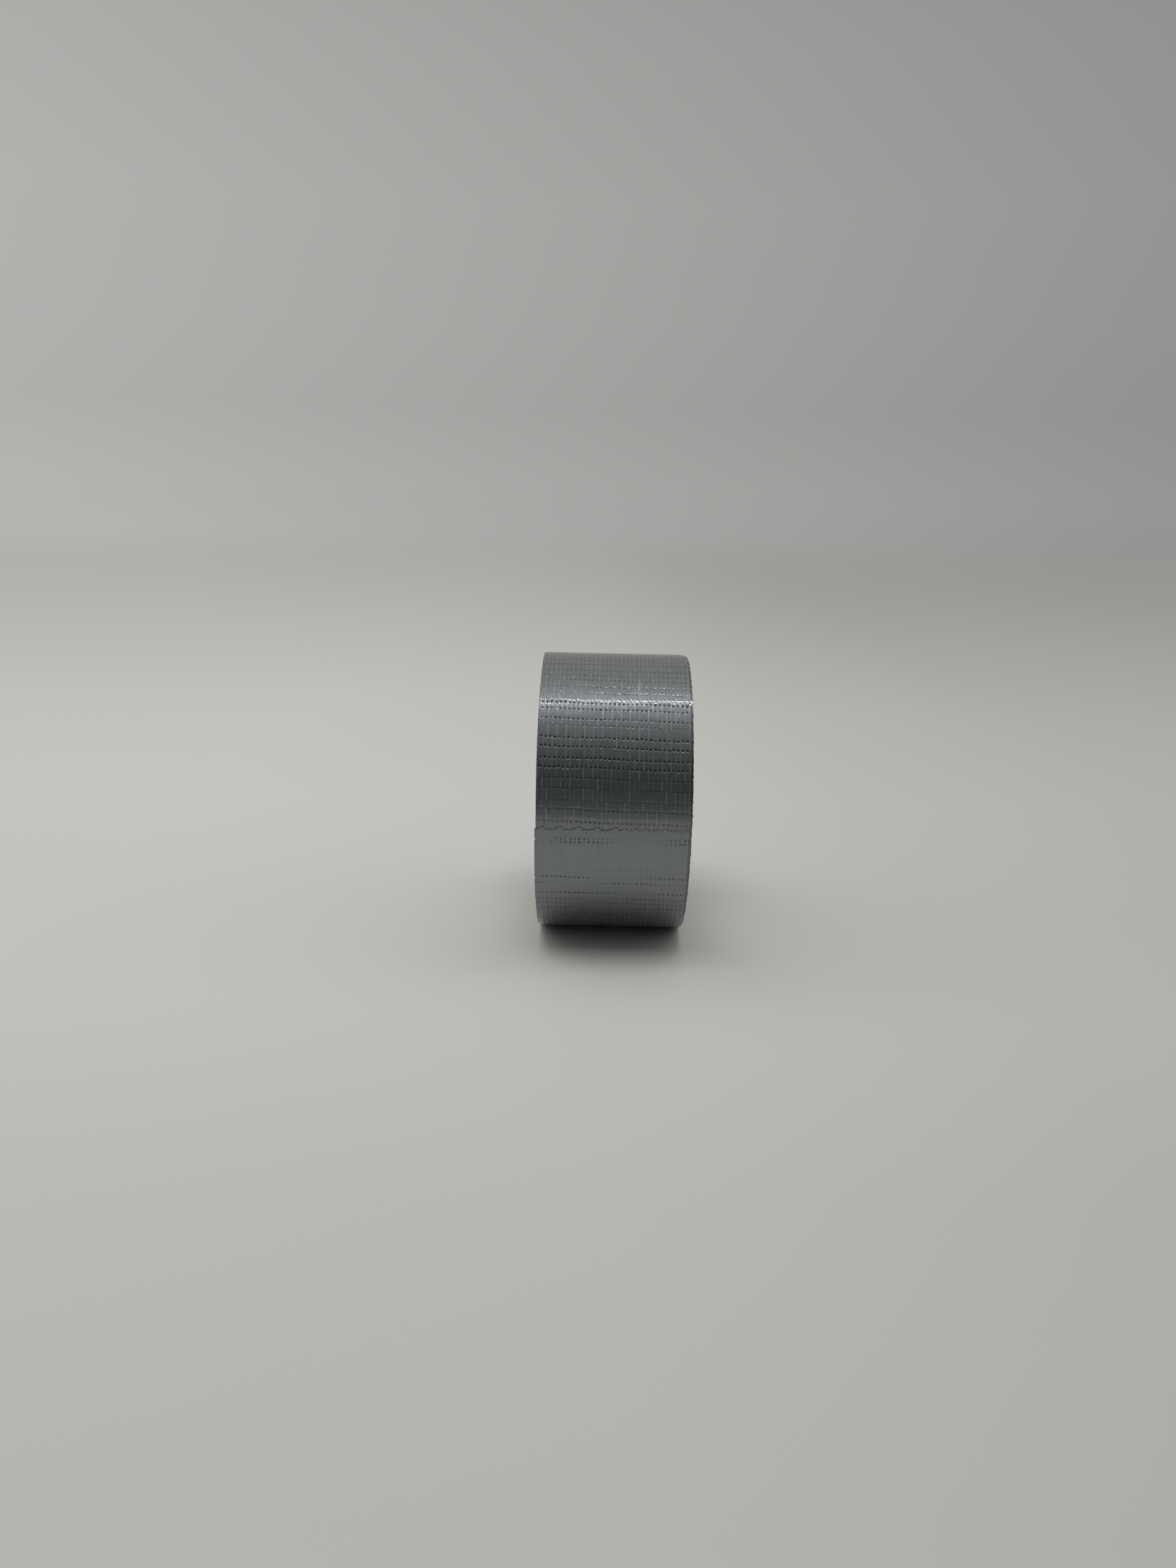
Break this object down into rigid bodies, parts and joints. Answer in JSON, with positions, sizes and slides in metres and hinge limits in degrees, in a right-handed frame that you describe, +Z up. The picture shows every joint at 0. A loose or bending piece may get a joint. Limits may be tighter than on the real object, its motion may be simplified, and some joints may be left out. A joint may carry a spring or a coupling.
{
  "type": "roll of duct tape",
  "caption": "Roll of silver-grey cloth-backed tape on a paper core, standing on its rim, with a torn tail that peels off the last turn.",
  "frame": {"origin": "on the floor, under the middle of the roll, at the centre of the flat it stands on", "axes": "+X along the roll's axis, +Y to the back, +Z up; the torn tail is on the front, at -Y"},
  "size_m": [0.048, 0.0947, 0.094],
  "materials": {
    "core_board": "matte kraft board, wound at a slant",
    "wound_tape": "cut edges of the wound tape, dull grey",
    "adhesive": "tacky off-white adhesive",
    "scrim": "open cotton and polyester weave",
    "film": "silver-grey satin film, embossed by the weave below"
  },
  "bodies": {
    "roll": {"core_liner": "core_board", "core_ply_1": "core_board", "core_ply_2": "core_board", "core_ply_3": "core_board", "core_ply_4": "core_board", "core_wrap": "core_board", "wound_turns": "wound_tape", "last_turn_adhesive": "adhesive", "last_turn_scrim": "scrim", "last_turn_film": "film"},
    "tail_1": {"tail_adhesive_1": "adhesive", "tail_scrim_1": "scrim", "tail_film_1": "film"},
    "tail_2": {"tail_adhesive_2": "adhesive", "tail_scrim_2": "scrim", "tail_film_2": "film"},
    "tail_3": {"tail_adhesive_3": "adhesive", "tail_scrim_3": "scrim", "tail_film_3": "film"},
    "tail_4": {"tail_adhesive_4": "adhesive", "tail_scrim_4": "scrim", "tail_film_4": "film"},
    "tail_5": {"tail_adhesive_5": "adhesive", "tail_scrim_5": "scrim", "tail_film_5": "film"}
  },
  "joints": [
    {"name": "tail_peel", "type": "hinge", "parent": "roll", "child": "tail_1", "pos_m": [0, -0.03062, 0.01063], "axis": [1, 0, 0], "range_deg": [0, 18]},
    {"name": "tail_bend_2", "type": "hinge", "parent": "tail_1", "child": "tail_2", "pos_m": [0, -0.03642, 0.01646], "axis": [1, 0, 0], "range_deg": [0, 18]},
    {"name": "tail_bend_3", "type": "hinge", "parent": "tail_2", "child": "tail_3", "pos_m": [0, -0.04112, 0.02321], "axis": [1, 0, 0], "range_deg": [0, 18]},
    {"name": "tail_bend_4", "type": "hinge", "parent": "tail_3", "child": "tail_4", "pos_m": [0, -0.04458, 0.03067], "axis": [1, 0, 0], "range_deg": [0, 18]},
    {"name": "tail_bend_5", "type": "hinge", "parent": "tail_4", "child": "tail_5", "pos_m": [0, -0.0467, 0.03861], "axis": [1, 0, 0], "range_deg": [0, 18]}
  ],
  "couplings": [
    {"joint": "tail_bend_2", "follows": "tail_peel", "ratio": 1},
    {"joint": "tail_bend_3", "follows": "tail_peel", "ratio": 1},
    {"joint": "tail_bend_4", "follows": "tail_peel", "ratio": 1},
    {"joint": "tail_bend_5", "follows": "tail_peel", "ratio": 1}
  ]
}
